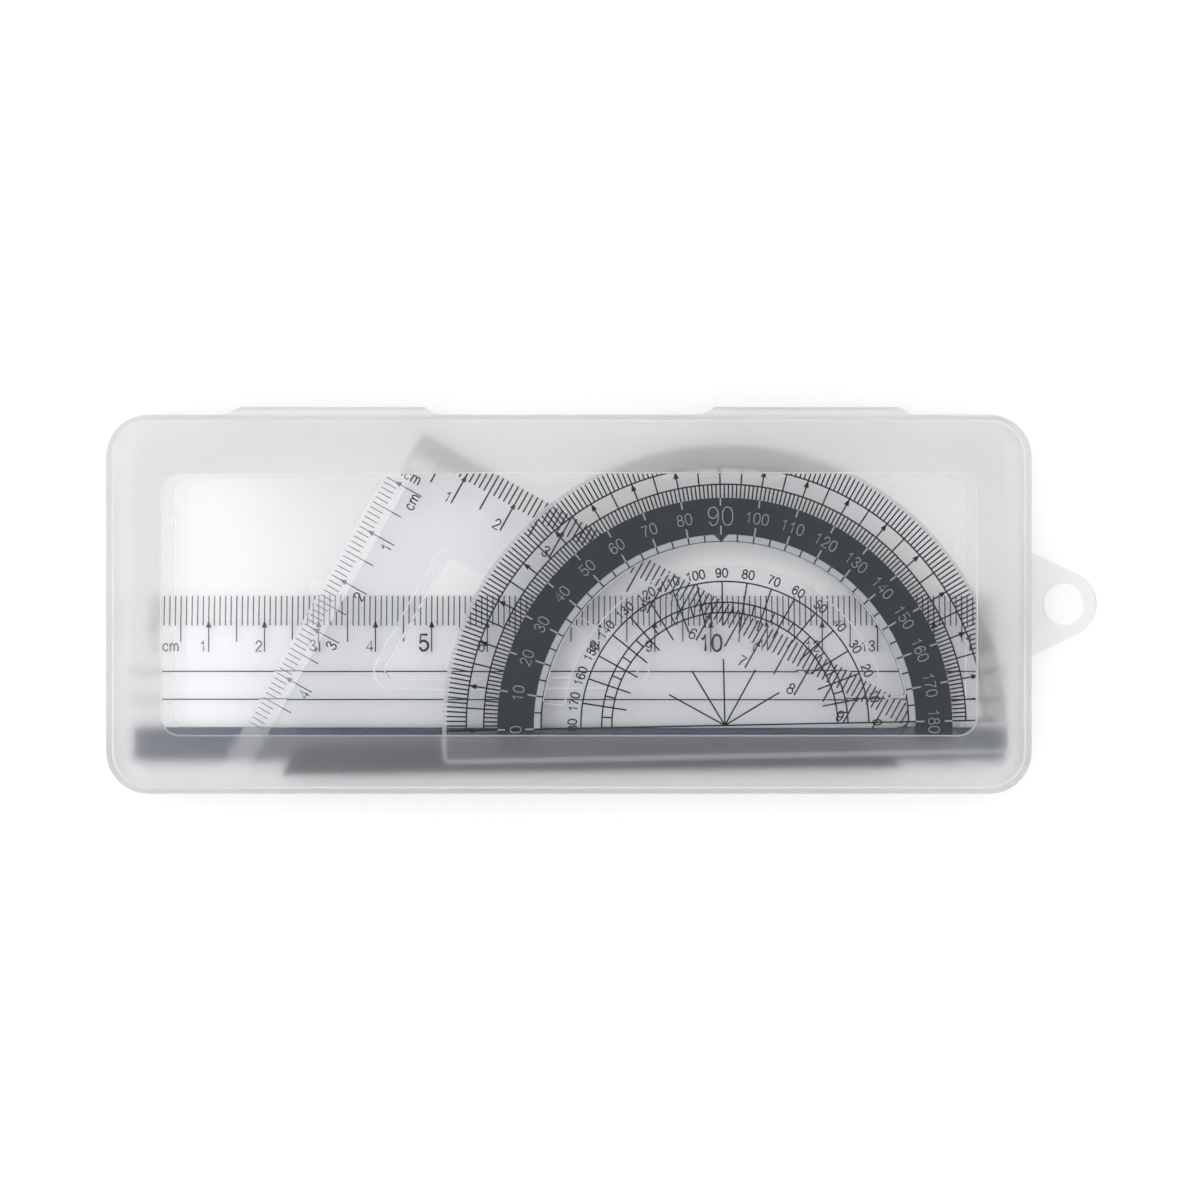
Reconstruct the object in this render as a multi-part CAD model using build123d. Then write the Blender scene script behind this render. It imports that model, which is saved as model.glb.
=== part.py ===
from build123d import *
import math
import os

# Pocket geometry set: a frosted case with a clear window and a hang tab, holding a ruler, a
# 30/60 set square and a protractor, stacked in that order from the floor up.
# Millimetres. +X runs to the hang tab, +Y to the hinges, +Z up. The origin is the middle of
# the closed set's footprint, on the surface it lies on.

# Case shell
case_length = 162.0
case_depth = 66.45
case_height = 11.0
corner_radius = 7.5
wall = 1.15
skin = 1.2  # floor of the base and top of the lid
outer_round = 1.6
inner_round = 0.5
part_line = 5.5  # height of the seam between base and lid
seam_gap = 0.05
seam_chamfer = 0.15

# Rim: a tongue on the base stands inside the lid's skirt
tongue_thickness = 0.5
tongue_height = 0.8
rim_clearance = 0.1

# Window panels, sunk a little on both faces of the lid's top and of the base's floor
window_length = 142.1
window_depth = 45.6
window_radius = 3.2
window_sink = 0.15
window_slope = 0.2  # the outer step is a slope of this width
window_inner_sink = 0.08
window_core_inset = 1.1  # the middle of the lid's inner panel is sunk once more
window_core_sink = 0.14

# Moulding marks on the floor
mark_radius = 1.45
mark_sink = 0.12
mark_spacing = 91.2
mark_offset = 3.0

# Ejector pips under the lid, one near each front corner
pip_radius = 0.6
pip_height = 0.25
pip_spacing = 146.6
pip_from_front = 2.9

# Hang tab
tab_reach = 12.8
tab_end_radius = 5.86
tab_root_half = 9.8
tab_hole_radius = 3.69
tab_thickness = 1.5
tab_top = 5.3
tab_edge_round = 0.3

# Film hinges at the back edge
hinge_reach = 1.8
hinge_spacing = 84.0
hinge_outer_width = 32.8
hinge_root_width = 38.0
leaf_thickness = 1.1
web_radius = 0.25
web_clearance = 0.06
leaf_setback = 0.05

# How far shared solids run into the wall that carries them
embed = 0.6

# Ruler
ruler_length = 157.9
ruler_width = 29.7
ruler_thickness = 2.0
ruler_centre_x = -6.52
ruler_scale_edge_y = 0.64
ruler_corner = 1.0
ruler_band_start = 23.6  # from the scale edge

# Set square, 30/60: its hypotenuse is the driving length
square_hypotenuse = 142.9
square_thickness = 2.0
square_corner = 1.0
square_left_corner = (-69.37, -31.66)
square_turn = 0.76
square_hole_inset = 17.0
square_hole_corner = 1.5
square_lip_width = 1.9  # a sunk border round the finger hole
square_lip_sink = 0.2
square_lip_slope = 0.2
square_band_width = 5.4
square_band_end = 10.0  # from each leg

# Polished edges of the instruments
edge_round = 0.15

# Bevels along the scale edges of the ruler and the set square
bevel_width = 4.5
bevel_drop = 0.8

# Protractor: radii are from the centre of its baseline
protractor_radius = 50.0
protractor_thickness = 1.5
protractor_skirt = 5.8  # from the baseline down to the straight edge
protractor_centre = (21.13, -22.36)
protractor_turn = 1.15
protractor_corner = 1.5
protractor_bevel = 0.8
protractor_drop = 0.5
slot_inner = 28.7
slot_outer = 32.3
slot_first_angle = 8.5
slot_corner = 0.5
slot_chamfer = 0.2
ring_inner = 33.8
ring_outer = 40.3
ring_leg = 3.7  # below the baseline

# Foil bands under the instruments, and the air between layers
foil = 0.03
air = 0.04
foil_inset = 0.25

# How near an edge must be to a radius to belong to it
near = 0.05

# Worked out from the above
case_x = -tab_reach / 2
case_y = -hinge_reach / 2
back_y = case_y + case_depth / 2
right_x = case_x + case_length / 2
hinge_y = back_y + hinge_reach - web_radius
ruler_bottom = skin + air + foil
square_bottom = ruler_bottom + ruler_thickness + air + foil
protractor_bottom = square_bottom + square_thickness + air + foil


def case_plate(inset, bottom, top):
    """A slab with the case's outline, drawn in by an inset."""
    plan = RectangleRounded(case_length - 2 * inset, case_depth - 2 * inset, corner_radius - inset)
    return Pos(case_x, case_y, bottom) * extrude(plan, amount=top - bottom)


def window_plan(inset, height):
    plan = RectangleRounded(window_length - 2 * inset, window_depth - 2 * inset, window_radius - inset)
    return Pos(case_x, case_y, height) * plan


def window_plate(inset, bottom, top):
    return extrude(window_plan(inset, bottom), amount=top - bottom)


def window_dish(face_height, floor_height):
    """The outer sink of a window: its walls slope out from the floor to the face of the case."""
    return loft([window_plan(0, floor_height), window_plan(-window_slope, face_height)])


def hinge_centres():
    return [case_x - hinge_spacing / 2, case_x + hinge_spacing / 2]


def web_cylinder(centre_x, radius, length):
    return Pos(centre_x, hinge_y, part_line) * Rot(0, 90, 0) * Cylinder(radius, length)


def hinge_leaf(centre_x, bottom, groove_radius):
    """A shallow trapezoid behind the back wall, grooved along its outer edge for the web."""
    root = hinge_root_width / 2
    tip = hinge_outer_width / 2
    tip_y = hinge_y - leaf_setback
    outline = Polyline(
        (-root, back_y - embed),
        (root, back_y - embed),
        (root, back_y),
        (tip, tip_y),
        (-tip, tip_y),
        (-root, back_y),
        close=True,
    )
    leaf = Pos(centre_x, 0, bottom) * extrude(make_face(outline), amount=leaf_thickness)
    return leaf - web_cylinder(centre_x, groove_radius, hinge_root_width)


def hang_tab():
    """A tab with straight sides that run tangent into its round end, and a round hole."""
    centre_x = tab_reach - tab_end_radius
    reach = math.hypot(centre_x, tab_root_half)
    to_centre = math.atan2(-tab_root_half, centre_x)
    side = to_centre + math.asin(tab_end_radius / reach)
    run = math.sqrt(reach**2 - tab_end_radius**2)
    tangent_x = run * math.cos(side)
    tangent_y = tab_root_half + run * math.sin(side)
    outline = Polyline(
        (-embed, tab_root_half),
        (0, tab_root_half),
        (tangent_x, tangent_y),
        (tangent_x, -tangent_y),
        (0, -tab_root_half),
        (-embed, -tab_root_half),
        close=True,
    )
    plan = make_face(outline) + Pos(centre_x, 0) * Circle(tab_end_radius)
    tab = extrude(plan, amount=tab_thickness)
    flat_edges = tab.edges().group_by(Axis.Z)[0] + tab.edges().group_by(Axis.Z)[-1]
    tab = fillet(flat_edges, tab_edge_round)
    tab -= Pos(centre_x, 0, tab_thickness / 2) * Cylinder(tab_hole_radius, 2 * tab_thickness)
    return Pos(right_x, case_y, tab_top - tab_thickness) * tab


def make_case_base():
    shell = case_plate(0, 0, part_line)
    shell = fillet(shell.edges().group_by(Axis.Z)[0], outer_round)
    shell = chamfer(shell.edges().group_by(Axis.Z)[-1], seam_chamfer)
    shell += case_plate(wall - tongue_thickness, part_line - embed, part_line + tongue_height)
    cavity = case_plate(wall, skin, case_height)
    shell -= fillet(cavity.edges().group_by(Axis.Z)[0], inner_round)
    shell -= window_dish(0, window_sink)
    shell -= window_plate(0, skin - window_inner_sink, skin)
    for side in (-1, 1):
        mark = Cylinder(mark_radius, 2 * (mark_sink + window_inner_sink))
        shell -= Pos(case_x + side * mark_spacing / 2, case_y + mark_offset, skin) * mark
    for centre_x in hinge_centres():
        shell += hinge_leaf(centre_x, part_line - seam_gap - leaf_thickness, web_radius)
    return shell + hang_tab()


def make_case_lid():
    shell = case_plate(0, part_line + seam_gap, case_height)
    shell = fillet(shell.edges().group_by(Axis.Z)[-1], outer_round)
    shell = chamfer(shell.edges().group_by(Axis.Z)[0], seam_chamfer)
    cavity = case_plate(wall, 0, case_height - skin)
    shell -= fillet(cavity.edges().group_by(Axis.Z)[-1], inner_round)
    skirt = wall - tongue_thickness - rim_clearance
    shell -= case_plate(skirt, 0, part_line + tongue_height + rim_clearance)
    shell -= window_dish(case_height, case_height - window_sink)
    ceiling = case_height - skin
    shell -= window_plate(0, ceiling, ceiling + window_inner_sink)
    shell -= window_plate(window_core_inset, ceiling, ceiling + window_core_sink)
    for side in (-1, 1):
        pip = Cylinder(pip_radius, 2 * pip_height)
        pip_y = back_y - case_depth + pip_from_front
        shell += Pos(case_x + side * pip_spacing / 2, pip_y, ceiling) * pip
    for centre_x in hinge_centres():
        shell += hinge_leaf(centre_x, part_line + seam_gap, web_radius + web_clearance)
    return shell


def make_hinge_web(centre_x):
    return web_cylinder(centre_x, web_radius, hinge_outer_width)


def bevel_cutter(start, end, top):
    """A wedge that thins a plate towards the edge from start to end, with the plate on its left."""
    along = Vector(*end) - Vector(*start)
    inward = Vector(0, 0, 1).cross(along)
    plane = Plane(origin=(start[0], start[1], top), x_dir=inward, z_dir=along)
    wedge = Polyline((-embed, -bevel_drop), (0, -bevel_drop), (bevel_width, 0), (-embed, embed), close=True)
    return extrude(plane * make_face(wedge), amount=along.length)


def ruler_plan(low_inset, high_inset, end_inset):
    """A rectangle across the ruler, from one distance to another behind its scale edge."""
    depth = high_inset - low_inset
    centre_y = ruler_scale_edge_y - (low_inset + high_inset) / 2
    return Pos(ruler_centre_x, centre_y) * Rectangle(ruler_length - 2 * end_inset, depth)


def make_ruler():
    plan = ruler_plan(0, ruler_width, 0)
    plan = fillet(plan.vertices(), ruler_corner)
    body = Pos(0, 0, ruler_bottom) * extrude(plan, amount=ruler_thickness)
    body = fillet(body.edges().group_by(Axis.Z)[-1], edge_round)
    left_x = ruler_centre_x - ruler_length / 2
    right_end = (left_x + ruler_length, ruler_scale_edge_y)
    return body - bevel_cutter(right_end, (left_x, ruler_scale_edge_y), ruler_bottom + ruler_thickness)


def make_ruler_foil_band():
    plan = ruler_plan(ruler_band_start, ruler_width - foil_inset, ruler_corner)
    return Pos(0, 0, ruler_bottom - foil) * extrude(plan, amount=foil)


def square_corners(inset):
    """Corners of the 30/60 triangle drawn in by an inset: 60 degree, 30 degree, right angle."""
    in_radius = square_hypotenuse * (math.sin(math.radians(30)) + math.cos(math.radians(30)) - 1) / 2
    scale = 1 - inset / in_radius
    centre = (in_radius / math.tan(math.radians(30)), in_radius)
    apex = (square_hypotenuse / 4, square_hypotenuse * math.sqrt(3) / 4)
    full = [(0, 0), (square_hypotenuse, 0), apex]
    return [(centre[0] + (x - centre[0]) * scale, centre[1] + (y - centre[1]) * scale) for x, y in full]


def square_place(height):
    return Pos(square_left_corner[0], square_left_corner[1], height) * Rot(0, 0, square_turn)


def triangle_plan(inset, corner):
    plan = make_face(Polyline(*square_corners(inset), close=True))
    return fillet(plan.vertices(), corner)


def finger_hole_plan(outset):
    return triangle_plan(square_hole_inset - outset, square_hole_corner + outset)


def finger_hole_flare(outset, bottom):
    """Room over the finger hole, a border wider than it, whose wall slopes out as it rises."""
    floor = Pos(0, 0, bottom) * finger_hole_plan(outset)
    mouth = Pos(0, 0, bottom + square_lip_slope) * finger_hole_plan(outset + square_lip_slope)
    return loft([floor, mouth])


def make_set_square():
    body = extrude(triangle_plan(0, square_corner), amount=square_thickness)
    body = fillet(body.edges().group_by(Axis.Z)[-1], edge_round)
    left, right, apex = square_corners(0)
    body -= bevel_cutter(right, apex, square_thickness)
    body -= bevel_cutter(apex, left, square_thickness)
    body -= extrude(finger_hole_plan(0), amount=square_thickness)
    lip_height = square_thickness - square_lip_sink
    body -= finger_hole_flare(square_lip_width, lip_height)
    body -= finger_hole_flare(0, lip_height - square_lip_slope)
    return square_place(square_bottom) * body


def make_set_square_foil_band():
    """A strip along the hypotenuse, its ends cut parallel to the legs."""
    left_slope = 1 / math.tan(math.radians(60))
    right_slope = 1 / math.tan(math.radians(30))
    left_x = square_band_end / math.sin(math.radians(60))
    right_x = square_hypotenuse - square_band_end / math.sin(math.radians(30))
    outline = Polyline(
        (left_x + foil_inset * left_slope, foil_inset),
        (right_x - foil_inset * right_slope, foil_inset),
        (right_x - square_band_width * right_slope, square_band_width),
        (left_x + square_band_width * left_slope, square_band_width),
        close=True,
    )
    return square_place(square_bottom - foil) * extrude(make_face(outline), amount=foil)


def protractor_place(height):
    return Pos(protractor_centre[0], protractor_centre[1], height) * Rot(0, 0, protractor_turn)


def half_ring_plan(inner, outer, first_angle):
    """A half ring above the baseline, stopping at an angle short of it on both sides."""
    cut = Pos(0, -outer) * Rectangle(4 * outer, 2 * outer)
    plan = Circle(outer) - Circle(inner) - cut
    if first_angle > 0:
        reach = 2 * outer
        rise = reach * math.tan(math.radians(first_angle))
        plan -= make_face(Polyline((0, 0), (reach, rise), (reach, 0), close=True))
        plan -= make_face(Polyline((0, 0), (-reach, 0), (-reach, rise), close=True))
    return plan


def in_slot(edge):
    """Whether an edge belongs to the slot and not to the outline, seen from the baseline's centre."""
    middle = edge @ 0.5
    return slot_inner - near < math.hypot(middle.X, middle.Y) < slot_outer + near


def make_protractor():
    """A half disc on a straight skirt, bevelled all round, with a curved slot right through."""
    radius = protractor_radius
    rim = CenterArc((0, 0), radius, 0, 180)
    foot = Polyline((-radius, 0), (-radius, -protractor_skirt), (radius, -protractor_skirt), (radius, 0))
    plan = make_face(rim.edges() + foot.edges())
    plan = fillet(plan.vertices().group_by(Axis.Y)[0], protractor_corner)
    body = extrude(plan, amount=protractor_thickness)
    top_edges = body.edges().group_by(Axis.Z)[-1]
    body = chamfer(top_edges, protractor_drop, protractor_bevel)
    slot = half_ring_plan(slot_inner, slot_outer, slot_first_angle)
    slot = fillet(slot.vertices(), slot_corner)
    body -= extrude(slot, amount=protractor_thickness)
    slot_edges = [edge for edge in body.edges().group_by(Axis.Z)[-1] if in_slot(edge)]
    body = chamfer(slot_edges, slot_chamfer)
    return protractor_place(protractor_bottom) * body


def make_protractor_foil_ring():
    plan = half_ring_plan(ring_inner, ring_outer, 0)
    for side in (-1, 1):
        centre_x = side * (ring_inner + ring_outer) / 2
        plan += Pos(centre_x, -ring_leg / 2) * Rectangle(ring_outer - ring_inner, ring_leg)
    return protractor_place(protractor_bottom - foil) * extrude(plan, amount=foil)


left_x, right_hinge_x = hinge_centres()
parts = {
    "case_base": make_case_base(),
    "case_lid": make_case_lid(),
    "hinge_web_left": make_hinge_web(left_x),
    "hinge_web_right": make_hinge_web(right_hinge_x),
    "ruler": make_ruler(),
    "ruler_foil_band": make_ruler_foil_band(),
    "set_square": make_set_square(),
    "set_square_foil_band": make_set_square_foil_band(),
    "protractor": make_protractor(),
    "protractor_foil_ring": make_protractor_foil_ring(),
}

os.makedirs("parts", exist_ok=True)
for node, shape in parts.items():
    export_step(shape, f"parts/{node}.step")
    print(node, shape.is_valid, round(shape.volume, 1), shape.bounding_box())
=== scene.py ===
import math

import bpy
from mathutils import Matrix, Vector


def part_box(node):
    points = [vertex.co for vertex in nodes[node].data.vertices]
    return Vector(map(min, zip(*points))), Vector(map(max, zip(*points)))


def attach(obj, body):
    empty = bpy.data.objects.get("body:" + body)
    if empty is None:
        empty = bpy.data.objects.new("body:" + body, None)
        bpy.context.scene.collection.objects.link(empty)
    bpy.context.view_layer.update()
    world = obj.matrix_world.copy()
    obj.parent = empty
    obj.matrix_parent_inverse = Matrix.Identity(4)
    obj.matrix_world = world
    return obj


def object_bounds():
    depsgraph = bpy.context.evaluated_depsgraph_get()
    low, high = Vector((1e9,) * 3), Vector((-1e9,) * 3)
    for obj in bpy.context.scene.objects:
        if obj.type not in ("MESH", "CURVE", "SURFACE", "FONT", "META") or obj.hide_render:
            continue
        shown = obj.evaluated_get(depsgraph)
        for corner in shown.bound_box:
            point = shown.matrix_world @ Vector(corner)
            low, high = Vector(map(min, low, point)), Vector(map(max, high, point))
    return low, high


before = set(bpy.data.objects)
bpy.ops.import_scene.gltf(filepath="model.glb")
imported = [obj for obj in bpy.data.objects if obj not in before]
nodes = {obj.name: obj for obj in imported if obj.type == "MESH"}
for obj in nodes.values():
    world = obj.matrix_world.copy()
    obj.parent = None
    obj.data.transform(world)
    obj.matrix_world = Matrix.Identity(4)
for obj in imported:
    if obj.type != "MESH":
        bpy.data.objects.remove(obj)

cadLow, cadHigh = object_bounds()
mm = 0.001

bpy.context.scene.unit_settings.length_unit = "MILLIMETERS"
bpy.context.scene.view_settings.view_transform = "Standard"


def hexColour(code):
    # sRGB hex to the linear numbers a shader wants
    channels = []
    for start in (0, 2, 4):
        value = int(code[start:start + 2], 16) / 255
        channels.append(value / 12.92 if value <= 0.04045 else ((value + 0.055) / 1.055) ** 2.4)
    return (*channels, 1.0)


def pickNone():
    if bpy.context.object and bpy.context.object.mode != "OBJECT":
        bpy.ops.object.mode_set(mode="OBJECT")
    bpy.ops.object.select_all(action="DESELECT")


def pick(obj):
    pickNone()
    obj.select_set(True)
    bpy.context.view_layer.objects.active = obj


def applyAll(obj):
    # every modifier goes into the mesh, and the object's place with it
    pick(obj)
    for modifier in list(obj.modifiers):
        bpy.ops.object.modifier_apply(modifier=modifier.name)
    bpy.ops.object.transform_apply(location=True, rotation=True, scale=True)


def joinAs(objects, name):
    pickNone()
    for obj in objects:
        obj.select_set(True)
    bpy.context.view_layer.objects.active = objects[0]
    if len(objects) > 1:
        bpy.ops.object.join()
    joined = bpy.context.object
    joined.name = name
    joined.data.name = name
    return joined


def copyTo(source, matrix):
    # a copy with its own mesh, moved in its vertices
    made = source.copy()
    made.data = source.data.copy()
    made.data.transform(matrix)
    bpy.context.collection.objects.link(made)
    return made


def repeat(source, matrices, name):
    copies = [copyTo(source, matrix) for matrix in matrices]
    bpy.data.objects.remove(source)
    return joinAs(copies, name)


def shift(x, y, z=0.0):
    return Matrix.Translation((x, y, z))


def turn(degrees):
    return Matrix.Rotation(math.radians(degrees), 4, "Z")


def finishPrint(obj, place, body, material):
    # set a flat print into its place on an instrument
    obj.data.transform(place)
    obj.data.materials.clear()
    obj.data.materials.append(material)
    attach(obj, body)


def addNode(tree, kind, settings=None, links=None):
    node = tree.nodes.new(kind)
    for key, value in (settings or {}).items():
        if isinstance(key, int) or key in node.inputs:
            node.inputs[key].default_value = value
        else:
            setattr(node, key, value)
    for socket, source in (links or {}).items():
        tree.links.new(source, node.inputs[socket])
    return node


def newMaterial(name):
    material = bpy.data.materials.new(name)
    material.use_nodes = True
    tree = material.node_tree
    tree.nodes.clear()
    place = addNode(tree, "ShaderNodeTexCoord").outputs["Object"]
    return material, tree, place


def closeMaterial(tree, surface):
    addNode(tree, "ShaderNodeOutputMaterial", links={"Surface": surface})


def letLightThrough(tree, surface, tint):
    # clear plastic passes the room's light on to what lies under it, a little tinted
    light = addNode(tree, "ShaderNodeLightPath")
    for ray in ("Is Shadow Ray", "Is Diffuse Ray"):
        clear = addNode(tree, "ShaderNodeBsdfTransparent", {"Color": hexColour(tint)})
        surface = addNode(
            tree, "ShaderNodeMixShader", {}, {0: light.outputs[ray], 1: surface, 2: clear.outputs[0]},
        ).outputs[0]
    return surface


def noiseAt(tree, place, size, detail):
    noise = addNode(tree, "ShaderNodeTexNoise", {"Scale": 1 / size, "Detail": detail}, {"Vector": place})
    return noise.outputs["Fac"]


def twoTones(tree, place, size, detail, colours):
    # drifts from the first colour to the second in patches of about the given size
    light, deep = colours
    mix = addNode(
        tree, "ShaderNodeMix",
        {"data_type": "RGBA", 6: hexColour(deep), 7: hexColour(light)},
        {0: noiseAt(tree, place, size, detail)},
    )
    return mix.outputs[2]


def mouldedPlastic(name, settings, **changes):
    # clear or milky plastic: lets light through as far as its transmission says
    s = {**settings, **changes}
    material, tree, place = newMaterial(name)
    links = {"Base Color": twoTones(tree, place, s["patch"], s["detail"], s["colours"])}
    if "relief" in s:
        size, strength, depth = s["relief"]
        bump = addNode(
            tree, "ShaderNodeBump", {"Strength": strength, "Distance": depth},
            {"Height": noiseAt(tree, place, size, s["detail"])},
        )
        links["Normal"] = bump.outputs["Normal"]
    shader = addNode(
        tree, "ShaderNodeBsdfPrincipled",
        {"Roughness": s["roughness"], "IOR": s["ior"], "Transmission Weight": s["transmission"]},
        links,
    )
    closeMaterial(tree, letLightThrough(tree, shader.outputs[0], s["tint"]))
    return material


# the case from a spark-eroded mould: milky, blurs what lies behind it
frostSettings = {
    "colours": ("FDFDFD", "FAFAFB"),
    "patch": 26 * mm,  # slow change in the wall's colour as the melt flowed
    "detail": 2.0,
    "relief": (0.35 * mm, 0.25, 0.02 * mm),  # grain size, strength and depth
    "roughness": 0.35,
    "ior": 1.49,
    "transmission": 0.985,
    "tint": "F6F6F6",
}
# the same moulding where the mould is polished: clear, with a faint ripple
windowSettings = {
    "colours": ("FDFDFE", "FAFBFC"),
    "patch": 22 * mm,
    "detail": 2.0,
    "relief": (22 * mm, 0.006, 0.1 * mm),
    "roughness": 0.01,
    "ior": 1.49,
    "transmission": 1.0,
    "tint": "FDFDFD",
}
# narrow slopes in clear plastic: rough, and made pale and less clear as a painted highlight for the light
# their edges catch
edgeHighlightSettings = {
    "colours": ("F4F4F5", "E6E7E9"),
    "patch": 1.5 * mm,
    "detail": 2.0,
    "roughness": 0.4,
    "ior": 1.49,
    "transmission": 0.75,
    "tint": "FFFFFF",
}
# instrument plastic: hard, glossy, a very faint cool tint
crystalSettings = {
    "colours": ("FEFEFF", "FBFCFD"),
    "patch": 20 * mm,
    "detail": 3.0,
    "roughness": 0.0,
    "ior": 1.5,
    "transmission": 1.0,
    "tint": "FEFEFE",
}
filmSettings = {"grain": 0.6 * mm, "detail": 3.0, "ior": 1.5, "ink": 0.5, "foil": 0.4}


def printedFilm(name, colours, roughness):
    # hot-stamp foil or ink: flat colour with the slight mottle of a pressed film
    s = filmSettings
    material, tree, place = newMaterial(name)
    shader = addNode(
        tree, "ShaderNodeBsdfPrincipled", {"Roughness": roughness, "IOR": s["ior"]},
        {"Base Color": twoTones(tree, place, s["grain"], s["detail"], colours)},
    )
    closeMaterial(tree, shader.outputs[0])
    return material


def ink(name, *colours):
    return printedFilm("hot-stamp ink " + name, colours, filmSettings["ink"])


def foil(name, *colours):
    return printedFilm("hot-stamp foil " + name, colours, filmSettings["foil"])


frostedBase = mouldedPlastic("moulded frosted polypropylene, base", frostSettings)
# the lid and the hang tab are the same frosted plastic as the base, painted greyer and letting through
# less light: painted shade
frostedLidPaintedShade = mouldedPlastic(
    "moulded frosted polypropylene with painted shade, lid", frostSettings, colours=("F5F5F6", "F0F0F1"), tint="F3F3F3",
)
frostedTabPaintedShade = mouldedPlastic(
    "moulded frosted polypropylene with painted shade, tab", frostSettings, colours=("F3F3F4", "EEEEEF"), tint="F4F4F4",
)
polished = mouldedPlastic("moulded clear polypropylene", windowSettings)
# the lid's window step and the instruments' steep corners get that painted highlight
windowStepHighlight = mouldedPlastic("polypropylene step with painted highlight", edgeHighlightSettings)
instrumentEdgeHighlight = mouldedPlastic("polystyrene corner with painted highlight", edgeHighlightSettings, transmission=0.7)
crystal = mouldedPlastic("moulded crystal polystyrene", crystalSettings)
# the set square's left bevel faces the soft box; its glare is painted in, as a paler surface that lets
# less light through
squareBevelPaintedGlare = mouldedPlastic(
    "moulded polystyrene with painted glare", crystalSettings, patch=3 * mm, detail=2.0, transmission=0.82,
)
inkBlack = ink("black", "1F2229", "181A20")
# the ruler's short ticks on its bevel are printed grey, not black: painted glare that pales them
inkGlarePaled = ink("grey paled by painted glare", "3E424A", "353940")
inkPale = ink("pale grey", "A0A4AC", "949AA2")
inkGrey = ink("mid grey", "B4B7BC", "AAADB3")
foilDark = foil("slate", "343943", "2B3038")
foilBlue = foil("blue slate", "424F69", "39455D")
foilNavy = foil("navy slate", "222D45", "1B253A")
print("materials made")


# finishes and smooth shading of the case and the instruments
caseSettings = {
    "skin": 1.2 * mm,
    "windowSink": 0.15 * mm,
    "windowInnerSinks": (0.08 * mm, 0.14 * mm),
    "windowInset": 5 * mm,  # everything of the window lies further in than this
    "smoothAngle": 32.0,  # the case's rounds
    "crispAngle": 8.0,  # the instruments' shallow bevels stay flat
    "weldDistance": 0.001 * mm,
    "near": 0.01 * mm,  # how close a face must be to a level to belong to it
    # kinds of face, told apart by how far up they point
    "flat": 0.99,
    "upright": 0.1,
    "corner": (0.5, 0.9),
    "bevel": (0.95, 0.995),
}


def smoothNode(obj, angle):
    # joined vertices in the drawing only, so that round walls shade round and edges stay crisp
    pick(obj)
    bpy.ops.object.shade_smooth()
    weld = obj.modifiers.new("weld", "WELD")
    weld.merge_threshold = caseSettings["weldDistance"]
    split = obj.modifiers.new("crisp edges", "EDGE_SPLIT")
    split.split_angle = math.radians(angle)
    split.use_edge_sharp = False


def dressNode(name, *materials):
    obj = nodes[name]
    obj.data.materials.clear()
    for material in materials:
        obj.data.materials.append(material)
    for face in obj.data.polygons:
        face.material_index = 0


def inWindow(point):
    # whether a point is well inside the outline of the case
    inset = caseSettings["windowInset"]
    inside = lidLow.x + inset < point.x < lidHigh.x - inset
    return inside and lidLow.y + inset < point.y < lidHigh.y - inset


def polishWindow(obj, levels, slope=None):
    # the sunk panels and the walls between them take the second finish, a slope the third, which on the
    # lid is the painted highlight
    near = caseSettings["near"]
    for face in obj.data.polygons:
        heights = [obj.data.vertices[index].co.z for index in face.vertices]
        lean = abs(face.normal.z)
        if lean > caseSettings["flat"]:
            if any(abs(face.center.z - level) < near for level in levels):
                face.material_index = 1
        elif not inWindow(face.center):
            continue
        elif slope and slope[0] - near < min(heights) and max(heights) < slope[1] + near:
            face.material_index = 2
        elif lean < caseSettings["upright"] and min(levels) - near < max(heights) < max(levels) + near:
            face.material_index = 1


lidLow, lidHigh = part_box("case_lid")
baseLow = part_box("case_base")[0]
c = caseSettings
lidDish = lidHigh.z - c["windowSink"]
lidLevels = [lidDish] + [lidHigh.z - c["skin"] + sink for sink in c["windowInnerSinks"]]
baseLevels = [baseLow.z + c["windowSink"], baseLow.z + c["skin"] - c["windowInnerSinks"][0]]
dressNode("case_lid", frostedLidPaintedShade, polished, windowStepHighlight)
polishWindow(nodes["case_lid"], lidLevels, (lidDish, lidHigh.z))
dressNode("case_base", frostedBase, polished, frostedTabPaintedShade)
polishWindow(nodes["case_base"], baseLevels)
# the hang tab of the base takes the greyer copy, a painted shade
for face in nodes["case_base"].data.polygons:
    if face.center.x > lidHigh.x:
        face.material_index = 2
for web in ("hinge_web_left", "hinge_web_right"):
    dressNode(web, frostedBase)
for instrument in ("ruler", "set_square", "protractor"):
    dressNode(instrument, crystal, instrumentEdgeHighlight, squareBevelPaintedGlare)
    # steep corner faces take the paler edge material, a painted highlight
    for face in nodes[instrument].data.polygons:
        if c["corner"][0] < abs(face.normal.z) < c["corner"][1]:
            face.material_index = 1
        # the set square's left bevel takes the painted glare
        elif instrument == "set_square" and face.normal.x < 0:
            if c["bevel"][0] < face.normal.z < c["bevel"][1]:
                face.material_index = 2
dressNode("ruler_foil_band", foilBlue)
dressNode("set_square_foil_band", foilNavy)
dressNode("protractor_foil_ring", foilDark)
for name in sorted(nodes):
    onCase = name.startswith(("case", "hinge"))
    smoothNode(nodes[name], c["smoothAngle"] if onCase else c["crispAngle"])
pickNone()
print("frame dressed")


# the print is made flat, under z = 0 unless it is lifted, and then set on its instrument
printSettings = {
    "film": 0.03 * mm,  # thickness of the ink
    "lineRound": 0.3,  # how much of a line's width its corners lose
    "lift": 0.02 * mm,  # how far pale figures stand into the plastic above a dark band
    "arrowWidth": 1.0 * mm,
    "arrowLength": 1.3 * mm,
    "arcStep": 1.5,  # degrees between the points of an arc
    "merge": 0.0001 * mm,  # points closer than this become one
    "figureSteps": 5,  # points between two knots of a figure's stroke
}


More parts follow.
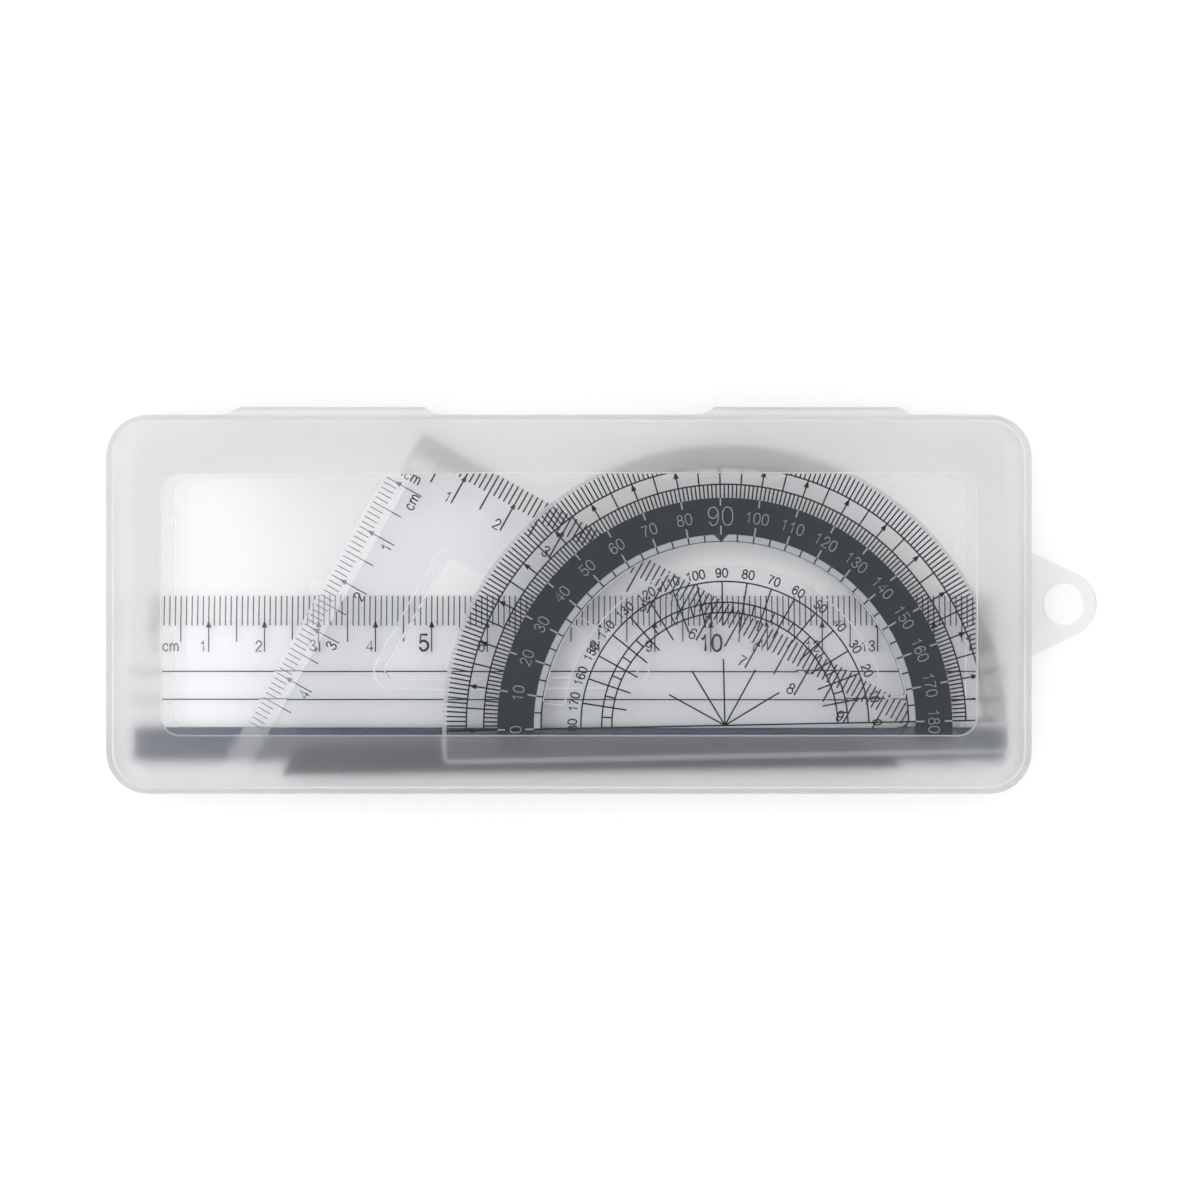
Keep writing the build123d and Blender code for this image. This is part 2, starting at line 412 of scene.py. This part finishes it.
def solidFilm(obj, lift=0.0):
    # thickness for a flat sheet of ink: it hangs down from z = 0, or stands up to the lift
    sheet = obj.modifiers.new("film", "SOLIDIFY")
    sheet.thickness = printSettings["film"]
    sheet.offset = -1.0
    applyAll(obj)
    if lift:
        obj.data.transform(shift(0, 0, lift))
    return obj


def inkLine(length, width, lift=0.0):
    # a line from (0, 0) down to (0, -length), its ends a little round
    pickNone()
    bpy.ops.mesh.primitive_plane_add(size=1, location=(0, -length / 2, 0))
    line = bpy.context.object
    line.scale = (width, length, 1)
    bpy.ops.object.transform_apply(location=True, scale=True)
    bpy.ops.object.mode_set(mode="EDIT")
    bpy.ops.mesh.select_all(action="SELECT")
    cut = width * printSettings["lineRound"]
    bpy.ops.mesh.bevel(offset=cut, offset_type="OFFSET", segments=1, affect="VERTICES")
    bpy.ops.object.mode_set(mode="OBJECT")
    return solidFilm(line, lift)


def inkArrow(width=printSettings["arrowWidth"], length=printSettings["arrowLength"]):
    # an arrowhead with its tip at (0, 0), pointing towards +Y, from a triangle 1.5 high and root 3 wide
    pickNone()
    bpy.ops.mesh.primitive_circle_add(vertices=3, radius=1, fill_type="NGON")
    arrow = bpy.context.object
    arrow.scale = (width / math.sqrt(3), length / 1.5, 1)
    arrow.location = (0, -length / 1.5, 0)
    bpy.ops.object.transform_apply(location=True, scale=True)
    return solidFilm(arrow)


def inkArc(inner, outer, first=0, last=180):
    # a band between two radii, turned from one angle to another about the origin
    pickNone()
    width = outer - inner
    bpy.ops.mesh.primitive_plane_add(size=width, location=((inner + outer) / 2, -width / 2, 0))
    arc = bpy.context.object
    bpy.ops.object.transform_apply(location=True)
    bpy.ops.object.mode_set(mode="EDIT")
    bpy.ops.mesh.select_all(action="DESELECT")
    bpy.ops.object.mode_set(mode="OBJECT")
    for vertex in arc.data.vertices:
        vertex.select = vertex.co.y < -width / 2
    bpy.ops.object.mode_set(mode="EDIT")
    bpy.ops.mesh.delete(type="VERT")
    bpy.ops.mesh.select_all(action="SELECT")
    steps = round((last - first) / printSettings["arcStep"])
    bpy.ops.mesh.spin(steps=steps, angle=math.radians(last - first), center=(0, 0, 0), axis=(0, 0, -1))
    bpy.ops.mesh.select_all(action="SELECT")
    bpy.ops.mesh.remove_doubles(threshold=printSettings["merge"])
    bpy.ops.mesh.normals_make_consistent(inside=False)
    bpy.ops.object.mode_set(mode="OBJECT")
    if sum(face.normal.z for face in arc.data.polygons) < 0:
        arc.data.flip_normals()
    arc.data.transform(turn(first))
    return solidFilm(arc)


# figures as single strokes on a height of 1: a stroke is closed or open, and "V" marks a sharp corner
figureStrokes = {
    "0": [(True, [(0, 0.5), (0.28, 1), (0.56, 0.5), (0.28, 0)])],
    "1": [(False, [(0.08, 0.74, "V"), (0.25, 0.8), (0.34, 1, "V"), (0.34, 0, "V")])],
    "2": [(False, [(0.02, 0.7), (0.28, 1), (0.55, 0.72), (0.3, 0.36), (0, 0, "V"), (0.58, 0, "V")])],
    "3": [(
        False,
        [(0.02, 0.76), (0.27, 1), (0.52, 0.76), (0.24, 0.54, "V"), (0.56, 0.27), (0.27, 0), (0, 0.25)],
    )],
    "4": [(False, [(0.44, 0, "V"), (0.44, 1, "V"), (0, 0.3, "V"), (0.6, 0.3, "V")])],
    "5": [(
        False,
        [(0.52, 1, "V"), (0.1, 1, "V"), (0.05, 0.5, "V"), (0.3, 0.62), (0.56, 0.32), (0.27, 0), (0, 0.22)],
    )],
    "6": [(
        False, [(0.53, 0.78), (0.3, 1), (0.02, 0.42), (0.28, 0), (0.56, 0.32), (0.3, 0.61), (0.03, 0.34)],
    )],
    "7": [(False, [(0, 1, "V"), (0.56, 1, "V"), (0.3, 0.52), (0.18, 0, "V")])],
    "8": [
        (True, [(0.28, 1), (0.5, 0.77), (0.28, 0.54), (0.06, 0.77)]),
        (True, [(0.28, 0.54), (0.56, 0.27), (0.28, 0), (0, 0.27)]),
    ],
    "9": [(
        False, [(0.03, 0.22), (0.26, 0), (0.54, 0.58), (0.28, 1), (0, 0.68), (0.26, 0.39), (0.53, 0.66)],
    )],
    "c": [(False, [(0.46, 0.53), (0.25, 0.73), (0, 0.365), (0.25, 0), (0.47, 0.2)])],
    "m": [
        (False, [(0, 0, "V"), (0, 0.73, "V")]),
        (False, [(0, 0.48, "V"), (0.2, 0.73), (0.37, 0.5), (0.37, 0, "V")]),
        (False, [(0.37, 0.48, "V"), (0.57, 0.73), (0.74, 0.5), (0.74, 0, "V")]),
    ],
}
figureWidths = {"c": 0.48, "m": 0.74}
figureWidth = 0.57
figureSpace = 0.2


def inkFigure(text, height, weight, align="CENTER", lift=0.0):
    # printed figures standing on y = 0, drawn as flat ribbons of one weight
    curve = bpy.data.curves.new("figure", "CURVE")
    curve.dimensions = "3D"
    curve.resolution_u = printSettings["figureSteps"]
    curve.bevel_depth = weight / 2
    curve.bevel_resolution = 0
    curve.use_fill_caps = True
    scale = height - weight
    left = 0.0
    for letter in text:
        for closed, points in figureStrokes[letter]:
            spline = curve.splines.new("BEZIER")
            spline.bezier_points.add(len(points) - 1)
            spline.use_cyclic_u = closed
            for knot, (x, y, *corner) in zip(spline.bezier_points, points):
                knot.co = ((left + x) * scale, y * scale + weight / 2, 0)
                knot.handle_left_type = "VECTOR" if corner else "AUTO"
                knot.handle_right_type = knot.handle_left_type
        left += figureWidths.get(letter, figureWidth) + figureSpace
    right = (left - figureSpace) * scale
    figure = bpy.data.objects.new("figure", curve)
    bpy.context.collection.objects.link(figure)
    pick(figure)
    bpy.ops.object.convert(target="MESH")
    figure = bpy.context.object
    start = {"LEFT": weight / 2, "CENTER": -right / 2, "RIGHT": -right - weight / 2}[align]
    film = printSettings["film"]
    figure.data.transform(shift(start, 0, lift - film / 2) @ Matrix.Diagonal((1, 1, film / weight, 1)))
    return figure


def figureAt(text, height, weight, matrix, align="CENTER", lift=0.0):
    figure = inkFigure(text, height, weight, align, lift)
    figure.data.transform(matrix)
    return figure


# straight scales, drawn alike on the ruler and the set square
scaleSettings = {
    "figureGap": 0.4 * mm,  # from the figure's right side to its line
    "arrowUp": 0.95 * mm,  # how far an arrowhead's tip stands above the ends of the short lines
}


def straightScale(name, zero, direction, length, place, body, marks, tickInk):
    # +X runs along the edge, +Y out over it; zero is where the scale starts, length in centimetres
    start, short, middle, long = marks["lines"]
    width = marks["lineWidth"]

    def at(step):
        return shift(zero + direction * step * mm, -start)

    millimetres = range(length * 10 + 1)
    shortSteps = [at(i) for i in millimetres if i % 5]
    middleSteps = [at(i) for i in millimetres if i % 10 == 5]
    longSteps = [at(i) for i in millimetres if i % 10 == 0]
    ticks = repeat(inkLine(short - start, width), shortSteps, name + "_scale_ticks")
    finishPrint(ticks, place, body, tickInk)
    lines = [
        repeat(inkLine(middle - start, width), middleSteps, "middle"),
        repeat(inkLine(long - start, width), longSteps, "long"),
    ]
    tip = scaleSettings["arrowUp"] - short
    arrows = [shift(zero + direction * i * 10 * mm, tip) for i in range(length + 1)]
    lines.append(repeat(inkArrow(), arrows, "arrows"))
    finishPrint(joinAs(lines, name + "_scale_lines"), place, body, inkBlack)

    figures = []
    foot = -long - marks["figureDrop"]
    for number in range(1, length + 1):
        lineX = zero + direction * number * 10 * mm
        tall, weight = marks["bigFigure"] if number in marks["bigAt"] else marks["figure"]
        align, left = "RIGHT", lineX - scaleSettings["figureGap"]
        if number == 10:
            align, left = "CENTER", lineX
        figures.append(figureAt(str(number), tall, weight, shift(left, foot), align))
    unitX, unitAlign = marks["unitAt"]
    figures.append(figureAt("cm", *marks["figure"], shift(unitX, foot), unitAlign))
    finishPrint(joinAs(figures, name + "_scale_figures"), place, body, inkBlack)
    print(name, "scale printed")


rulerSettings = {
    "zero": 4.3 * mm,
    "length": 15,
    "marks": {
        "lines": (0.1 * mm, 5.4 * mm, 8.3 * mm, 10.1 * mm),  # start, short, middle, long
        "lineWidth": 0.21 * mm,
        "figure": (2.1 * mm, 0.24 * mm),  # height and weight
        "bigFigure": (3.3 * mm, 0.42 * mm),
        "bigAt": (5, 10, 15),
        "figureDrop": 0.0,
        "unitAt": (6.0 * mm, "LEFT"),
    },
    "guideLines": (13.6 * mm, 18.6 * mm),
    "guideWidth": 0.23 * mm,
    "guideEnd": 0.3 * mm,  # from the ruler's end
}

rulerLow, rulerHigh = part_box("ruler")
rulerPlace = shift(rulerLow.x, rulerHigh.y, rulerLow.z)
straightScale(
    "ruler", rulerSettings["zero"], 1, rulerSettings["length"], rulerPlace,
    "ruler", rulerSettings["marks"], inkGlarePaled,
)

guides = []
for back in rulerSettings["guideLines"]:
    end = rulerSettings["guideEnd"]
    guide = inkLine(rulerHigh.x - rulerLow.x - 2 * end, rulerSettings["guideWidth"])
    guide.data.transform(shift(end, -back) @ turn(90))
    guides.append(guide)
finishPrint(joinAs(guides, "ruler_guide_lines"), rulerPlace, "ruler", inkBlack)


squareSettings = {
    "hypotenuse": 142.9 * mm,
    "cornerRound": 1.0 * mm,
    "turn": 0.76,
    "longZero": 2.7 * mm,  # from the right angle
    "longLength": 10,
    "shortZero": 10.0 * mm,
    "shortLength": 5,
    "longMarks": {
        "lines": (0.05 * mm, 3.8 * mm, 7.0 * mm, 8.5 * mm),
        "lineWidth": 0.3 * mm,
        "figure": (2.1 * mm, 0.25 * mm),
        "bigAt": (),
        "figureDrop": 0.25 * mm,
        "unitAt": (3.1 * mm, "LEFT"),
    },
    "shortMarks": {
        "lines": (0.45 * mm, 3.05 * mm, 6.1 * mm, 7.55 * mm),
        "lineWidth": 0.19 * mm,
        "figure": (2.1 * mm, 0.25 * mm),
        "bigAt": (),
        "figureDrop": 0.0,
        "unitAt": (61.2 * mm, "RIGHT"),
    },
}

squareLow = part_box("set_square")[0]
q = squareSettings
# the 60 degree corner's round touches the box on its left and its lower side
roundCentre = Vector((squareLow.x + q["cornerRound"], squareLow.y + q["cornerRound"]))
bisector = math.radians(30 + q["turn"])
squareCorner = roundCentre - 2 * q["cornerRound"] * Vector((math.cos(bisector), math.sin(bisector)))
squarePlace = shift(squareCorner.x, squareCorner.y, squareLow.z) @ turn(q["turn"])
shortLeg = q["hypotenuse"] / 2

# short leg: +X runs up it from the 60 degree corner to the right angle
straightScale(
    "set_square_short", shortLeg - q["shortZero"], -1, q["shortLength"], squarePlace @ turn(60),
    "set_square", q["shortMarks"], inkBlack,
)
# long leg: +X runs down it from the right angle
apex = Vector((shortLeg * math.cos(math.radians(60)), shortLeg * math.sin(math.radians(60))))
straightScale(
    "set_square_long", q["longZero"], 1, q["longLength"],
    squarePlace @ shift(apex.x, apex.y) @ turn(-30),
    "set_square", q["longMarks"], inkBlack,
)


# the dial: radii are from the centre of the baseline
dialSettings = {
    "radius": 50.0 * mm,
    "turn": 1.15,
    "rimLines": (49.7 * mm, 45.8 * mm),
    "outerArc": 45.8 * mm,
    "innerArc": 42.7 * mm,
    "innerLines": (42.7 * mm, 40.3 * mm),
    "band": (40.3 * mm, 33.8 * mm),
    "bandTickOut": 1.4 * mm,
    "bandTickIn": 1.6 * mm,
    "figure": (2.1 * mm, 0.17 * mm),
    "middleFigure": (3.45 * mm, 0.2 * mm),
    "boxes": (33.8 * mm, 32.55 * mm),
    "innerFigureArc": 25.5 * mm,
    "innerFigure": (1.8 * mm, 0.27 * mm),
    "innerFigureGap": 0.6 * mm,
    "ringB": 21.8 * mm,
    "ringC": 20.0 * mm,
    "spokeEnd": 17.6 * mm,
    "ray": 11.3 * mm,
    "middleRay": 11.8 * mm,
    "line": 0.27 * mm,
    "baseline": 48.0 * mm,
    "pointer": (2.6 * mm, 1.3 * mm),  # width at the band, and height
    "fillSink": 0.015 * mm,  # the grey boxes lie under the pointer, and both under the lines
    "pointerSink": 0.005 * mm,
}

dialLow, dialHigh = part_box("protractor")
d = dialSettings
dialPlace = shift(dialLow.x + d["radius"], dialHigh.y - d["radius"], dialLow.z) @ turn(d["turn"])


def spoke(angle):
    # a print drawn pointing up from the origin, swung to an angle of the dial
    return turn(angle - 90)


def radial(outer, inner, width, angles, name, lift=0.0):
    line = inkLine(outer - inner, width, lift)
    line.data.transform(shift(0, outer))
    return repeat(line, [spoke(angle) for angle in angles], name)


def ringLine(radius, width):
    return inkArc(radius - width / 2, radius + width / 2)


tens = range(0, 181, 10)
fives = range(5, 180, 10)

lines = [
    radial(*d["rimLines"], d["line"], range(0, 181), "rim"),
    radial(*d["innerLines"], d["line"], range(0, 181), "inner"),
    ringLine(d["outerArc"], d["line"]),
    ringLine(d["innerArc"], d["line"]),
    radial(d["outerArc"], d["innerArc"], d["line"], list(tens) + list(fives), "ties"),
]
arrow = inkArrow()
arrow.data.transform(shift(0, d["outerArc"]))
lines.append(repeat(arrow, [spoke(angle) for angle in tens], "arrows"))
finishPrint(joinAs(lines, "protractor_degree_lines"), dialPlace, "protractor", inkBlack)

lift = printSettings["lift"]
bandOuter, bandInner = d["band"]
marks = [
    radial(bandOuter, bandOuter - d["bandTickOut"], d["line"], tens, "outer marks", lift),
    radial(bandInner + d["bandTickIn"], bandInner, d["line"], tens, "inner marks", lift),
]
for angle in tens:
    reading = 180 - angle
    tall, weight = d["middleFigure"] if reading == 90 else d["figure"]
    middle = (bandOuter + bandInner) / 2 - tall / 2
    place = spoke(angle) @ shift(0, middle)
    marks.append(figureAt(str(reading), tall, weight, place, "CENTER", lift))
finishPrint(joinAs(marks, "protractor_outer_figures"), dialPlace, "protractor", inkPale)

boxFill = inkArc(d["boxes"][1], d["boxes"][0])
boxFill.name = "protractor_box_ring_fill"
finishPrint(boxFill, dialPlace @ shift(0, 0, -d["fillSink"]), "protractor", inkGrey)

pointer = inkArrow(*d["pointer"])
pointer.name = "protractor_pointer"
pointer.data.transform(shift(0, bandInner - d["pointer"][1]) @ turn(180))
pointerPlace = dialPlace @ shift(0, 0, -d["pointerSink"])
finishPrint(pointer, pointerPlace, "protractor", foilDark)

inner = [
    radial(*d["boxes"], d["line"], range(0, 181, 5), "box ties"),
    ringLine(d["boxes"][1], d["line"]),
    ringLine(d["innerFigureArc"], d["line"]),
    ringLine(d["ringB"], d["line"]),
    ringLine(d["ringC"], d["line"]),
    radial(d["innerFigureArc"], d["spokeEnd"], d["line"], range(10, 171, 10), "spokes"),
    radial(d["ringB"], d["ringC"], d["line"], fives, "half spokes"),
    radial(d["ray"], 0, d["line"], (30, 60, 120, 150), "rays"),
    radial(d["middleRay"], 0, d["line"], (90,), "middle ray"),
]
base = inkLine(2 * d["baseline"], d["line"])
base.data.transform(shift(-d["baseline"], 0) @ turn(90))
inner.append(base)
tip = inkArrow()
tip.data.transform(shift(d["baseline"], 0) @ turn(-90))
inner.append(tip)
for angle in tens:
    matrix = spoke(angle) @ shift(0, d["innerFigureArc"] + d["innerFigureGap"])
    inner.append(figureAt(str(angle), *d["innerFigure"], matrix))
finishPrint(joinAs(inner, "protractor_inner_scale"), dialPlace, "protractor", inkBlack)
print("protractor printed")


studio = {
    "tableColour": "FFFFFF",
    "tableSize": 6.0,
    "tableRoughness": 0.7,
    "tableRelief": (0.8 * mm, 0.05, 0.02 * mm),  # grain size, strength and depth
    "tableDetail": 2.0,
    "cameraHeight": 301.3 * mm,
    "cameraX": -0.97 * mm,
    "cameraY": -0.165 * mm,
    "lens": 50.0,
    "sensor": 36.0,
    "nearest": 10 * mm,
}


def makeTable():
    pickNone()
    bpy.ops.mesh.primitive_plane_add(size=studio["tableSize"], location=(0, 0, cadLow.z))
    table = bpy.context.object
    table.name = "table"
    material, tree, place = newMaterial("matt white laminate")
    size, strength, depth = studio["tableRelief"]
    bump = addNode(
        tree, "ShaderNodeBump", {"Strength": strength, "Distance": depth},
        {"Height": noiseAt(tree, place, size, studio["tableDetail"])},
    )
    shader = addNode(
        tree, "ShaderNodeBsdfPrincipled",
        {"Base Color": hexColour(studio["tableColour"]), "Roughness": studio["tableRoughness"]},
        {"Normal": bump.outputs["Normal"]},
    )
    closeMaterial(tree, shader.outputs[0])
    table.data.materials.append(material)


skySettings = {
    "base": 1.02,
    "horizon": 0.2,  # extra light low down, which the edges of clear plastic pick up
    "horizonTop": 0.75,  # sine of the height where that light has gone
    "floorFade": (-0.05, 0.05),  # sines of the heights where the room turns into the floor
    "floorLevel": 0.8,
    "darkDisc": (0.2, 0.42),  # sines of the angles from the zenith where the dark ceiling fades out
    "darkLevel": 0.2,
    "lampX": (-0.66, -0.56, -0.24, -0.15),  # a soft box: fades in, full, full, fades out
    "lampY": (-0.35, -0.2, 0.45, 0.6),
    "lampLevel": 1.25,
}


def makeLight():
    # a white room with a darker ceiling straight above, and one large soft box high on the left
    s = skySettings
    world = bpy.data.worlds.new("soft studio")
    world.use_nodes = True
    tree = world.node_tree
    tree.nodes.clear()
    where = addNode(tree, "ShaderNodeTexCoord").outputs["Generated"]
    split = addNode(tree, "ShaderNodeSeparateXYZ", links={"Vector": where})

    def maths(operation, first, second):
        links = {0: first}
        settings = {"operation": operation}
        if isinstance(second, (int, float)):
            settings[1] = second
        else:
            links[1] = second
        return addNode(tree, "ShaderNodeMath", settings, links).outputs[0]

    def ramp(source, start, end, low, high):
        node = addNode(
            tree, "ShaderNodeMapRange",
            {
                "interpolation_type": "SMOOTHSTEP",
                "From Min": start, "From Max": end, "To Min": low, "To Max": high,
            },
            {"Value": source},
        )
        return node.outputs["Result"]

    def plateau(source, limits):
        up = ramp(source, limits[0], limits[1], 0.0, 1.0)
        down = ramp(source, limits[2], limits[3], 1.0, 0.0)
        return maths("MULTIPLY", up, down)

    x, y, z = split.outputs
    across = maths("SQRT", maths("ADD", maths("MULTIPLY", x, x), maths("MULTIPLY", y, y)), 0.0)
    room = maths("ADD", ramp(z, s["horizonTop"], 0.0, 0.0, s["horizon"]), s["base"])
    ceiling = ramp(across, *s["darkDisc"], s["darkLevel"], 1.0)
    above = ramp(z, *s["floorFade"], 0.0, 1.0)
    lamp = maths("MULTIPLY", plateau(x, s["lampX"]), plateau(y, s["lampY"]))
    lamp = maths("MULTIPLY", maths("MULTIPLY", lamp, above), s["lampLevel"])
    below = maths("MULTIPLY", maths("SUBTRACT", above, 1.0), -s["floorLevel"])
    shade = maths("ADD", maths("MULTIPLY", ceiling, above), below)
    strength = maths("ADD", maths("MULTIPLY", room, shade), lamp)
    glow = addNode(tree, "ShaderNodeBackground", {"Color": (1.0, 1.0, 1.0, 1.0)}, {"Strength": strength})
    addNode(tree, "ShaderNodeOutputWorld", links={"Surface": glow.outputs[0]})
    bpy.context.scene.world = world


def makeCamera():
    data = bpy.data.cameras.new("camera")
    data.lens = studio["lens"]
    data.sensor_width = studio["sensor"]
    data.clip_start = studio["nearest"]
    camera = bpy.data.objects.new("camera", data)
    camera.location = (studio["cameraX"], studio["cameraY"], studio["cameraHeight"])
    bpy.context.collection.objects.link(camera)
    bpy.context.scene.camera = camera


makeTable()
makeLight()
makeCamera()
cycles = bpy.context.scene.cycles
cycles.max_bounces = 32
cycles.transmission_bounces = 32
cycles.glossy_bounces = 8
cycles.diffuse_bounces = 8
cycles.transparent_max_bounces = 24
print("studio ready")
